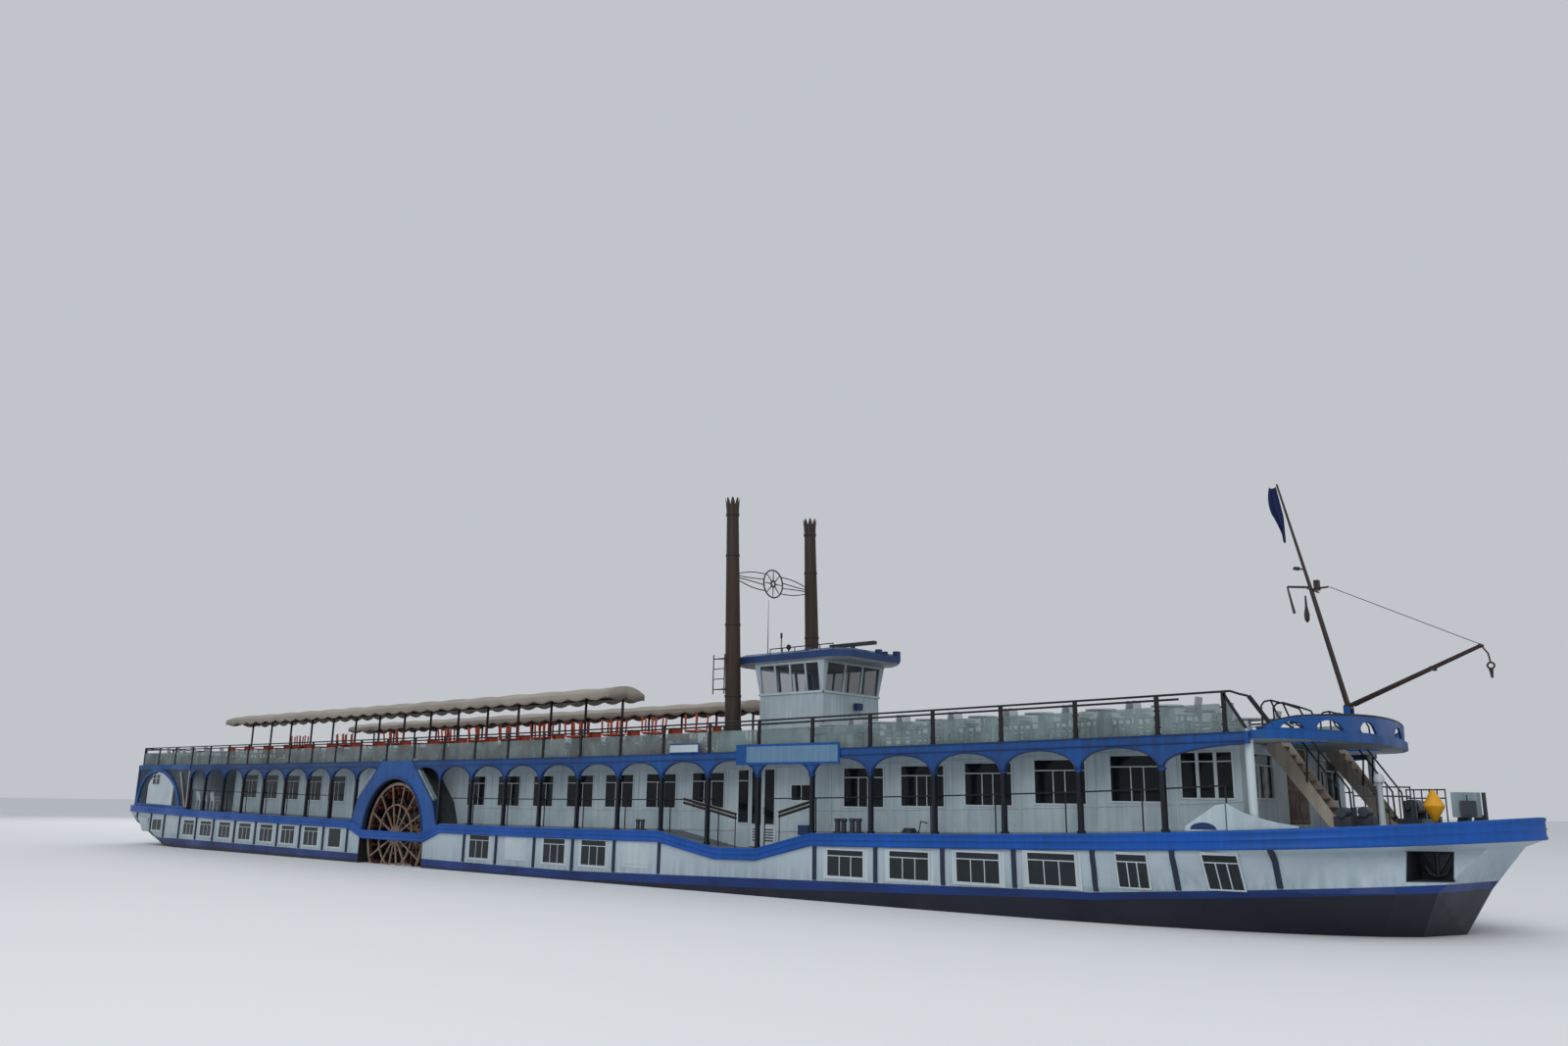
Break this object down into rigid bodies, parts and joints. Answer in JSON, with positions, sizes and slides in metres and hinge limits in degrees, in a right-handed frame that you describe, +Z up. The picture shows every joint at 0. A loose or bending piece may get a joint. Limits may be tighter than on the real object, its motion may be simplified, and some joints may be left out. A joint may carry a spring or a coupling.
{
  "type": "paddle steamer, 1:2 scale model",
  "caption": "Excursion paddle steamer with side wheels in paddle boxes, a glazed saloon under a sun deck, a wheelhouse, tall folding funnels and a folding foremast.",
  "frame": {"origin": "amidships on the centreline, at the waterline", "axes": "+X towards the bow, +Y to port, +Z up"},
  "size_m": [33.59, 4.59, 7.1069],
  "materials": {
    "hull_paint": "semi-gloss white with a blue boot stripe and dark red below the water",
    "belt_blue": "gloss bright blue, scuffed",
    "saloon_white": "semi-gloss white",
    "frame_blue": "semi-gloss blue",
    "arch_navy": "satin dark blue",
    "wheel_red": "wet dark red paint",
    "deck_coating": "matte grey non-slip coating",
    "rail_paint": "satin pale grey",
    "funnel_black": "sooty satin brown-black",
    "mast_black": "satin dark brown",
    "awning_canvas": "woven cream canvas",
    "iron_grey": "satin dark grey",
    "rudder_red": "matte antifouling",
    "window_glass": "dark tinted glass",
    "curtain_red": "woven dark red cloth",
    "chair_red": "satin moulded plastic",
    "table_white": "satin laminate",
    "wood_brown": "varnished boards",
    "signal_orange": "satin orange",
    "wheel_spokes": "weathered beige",
    "lamp_glass": "clear lamp glass"
  },
  "bodies": {
    "ship": {"hull_fore": "hull_paint", "hull_waist": "hull_paint", "hull_aft": "hull_paint", "belt_starboard": "belt_blue", "belt_port": "belt_blue", "sun_deck": "deck_coating", "gallery_aft_starboard": "frame_blue", "gallery_aft_port": "frame_blue", "gallery_fore_starboard": "frame_blue", "gallery_fore_port": "frame_blue", "paddle_box_starboard": "belt_blue", "paddle_box_port": "belt_blue", "saloon_aft_starboard": "saloon_white", "saloon_aft_port": "saloon_white", "saloon_fore_starboard": "saloon_white", "saloon_fore_port": "saloon_white", "saloon_front": "saloon_white", "saloon_back": "saloon_white", "stern_house": "saloon_white", "stern_arch_starboard": "arch_navy", "stern_arch_port": "arch_navy", "rail_starboard": "rail_paint", "rail_port": "rail_paint", "front_parapet": "frame_blue", "stern_rail": "rail_paint", "wheelhouse": "saloon_white", "wheelhouse_roof": "frame_blue", "funnel_base_starboard": "saloon_white", "funnel_base_port": "saloon_white", "awning_starboard": "awning_canvas", "awning_port": "awning_canvas", "awning_frame_starboard": "rail_paint", "awning_frame_port": "rail_paint", "mast_foot": "frame_blue", "fore_stair_starboard": "rail_paint", "fore_stair_port": "rail_paint", "front_column_starboard": "saloon_white", "front_column_port": "saloon_white", "wing_bulwark_starboard": "saloon_white", "wing_bulwark_port": "saloon_white", "windlass": "iron_grey"},
    "wheel_starboard": {"paddle_wheel_starboard": "wheel_red"},
    "wheel_port": {"paddle_wheel_port": "wheel_red"},
    "rudder_starboard": {"rudder_starboard": "rudder_red"},
    "rudder_port": {"rudder_port": "rudder_red"},
    "funnels": {"funnel_starboard": "funnel_black", "funnel_port": "funnel_black", "funnel_brace": "funnel_black"},
    "mast": {"foremast": "mast_black", "gin_pole": "mast_black", "mast_stay": "iron_grey"},
    "radar": {"radar_arm": "iron_grey"},
    "door_aft_starboard": {"door_aft_starboard": "saloon_white"},
    "door_fore_starboard": {"door_fore_starboard": "saloon_white"},
    "door_aft_port": {"door_aft_port": "saloon_white"},
    "door_fore_port": {"door_fore_port": "saloon_white"},
    "wheelhouse_door": {"wheelhouse_door": "saloon_white"}
  },
  "joints": [
    {"name": "wheel_starboard_spin", "type": "hinge", "parent": "ship", "child": "wheel_starboard", "pos_m": [-2.75, -1.9, 0.565], "axis": [0, 1, 0], "continuous": true},
    {"name": "wheel_port_spin", "type": "hinge", "parent": "ship", "child": "wheel_port", "pos_m": [-2.75, 1.9, 0.565], "axis": [0, 1, 0], "continuous": true},
    {"name": "rudder_starboard_steer", "type": "hinge", "parent": "ship", "child": "rudder_starboard", "pos_m": [-14.65, -0.75, -0.5], "axis": [0, 0, 1], "range_deg": [-35, 35]},
    {"name": "rudder_port_steer", "type": "hinge", "parent": "ship", "child": "rudder_port", "pos_m": [-14.65, 0.75, -0.5], "axis": [0, 0, 1], "range_deg": [-35, 35]},
    {"name": "funnels_fold", "type": "hinge", "parent": "ship", "child": "funnels", "pos_m": [5.325, 0, 2.45], "axis": [0, -1, 0], "range_deg": [0, 84]},
    {"name": "foremast_fold", "type": "hinge", "parent": "ship", "child": "mast", "pos_m": [14.875, 0, 2.525], "axis": [0, -1, 0], "range_deg": [0, 78]},
    {"name": "radar_spin", "type": "hinge", "parent": "ship", "child": "radar", "pos_m": [7.21, 0, 3.84], "axis": [0, 0, 1], "continuous": true},
    {"name": "door_aft_starboard_swing", "type": "hinge", "parent": "ship", "child": "door_aft_starboard", "pos_m": [6.616, -1.752, 1.2], "axis": [0, 0, -1], "range_deg": [0, 100]},
    {"name": "door_fore_starboard_swing", "type": "hinge", "parent": "ship", "child": "door_fore_starboard", "pos_m": [7.146, -1.752, 1.2], "axis": [0, 0, 1], "range_deg": [0, 100]},
    {"name": "door_aft_port_swing", "type": "hinge", "parent": "ship", "child": "door_aft_port", "pos_m": [6.616, 1.752, 1.2], "axis": [0, 0, 1], "range_deg": [0, 100]},
    {"name": "door_fore_port_swing", "type": "hinge", "parent": "ship", "child": "door_fore_port", "pos_m": [7.146, 1.752, 1.2], "axis": [0, 0, -1], "range_deg": [0, 100]},
    {"name": "wheelhouse_door_swing", "type": "hinge", "parent": "ship", "child": "wheelhouse_door", "pos_m": [5.813, -0.148, 2.5], "axis": [0, 0, 1], "range_deg": [0, 100]}
  ],
  "couplings": [
    {"joint": "rudder_port_steer", "follows": "rudder_starboard_steer", "ratio": 1}
  ]
}
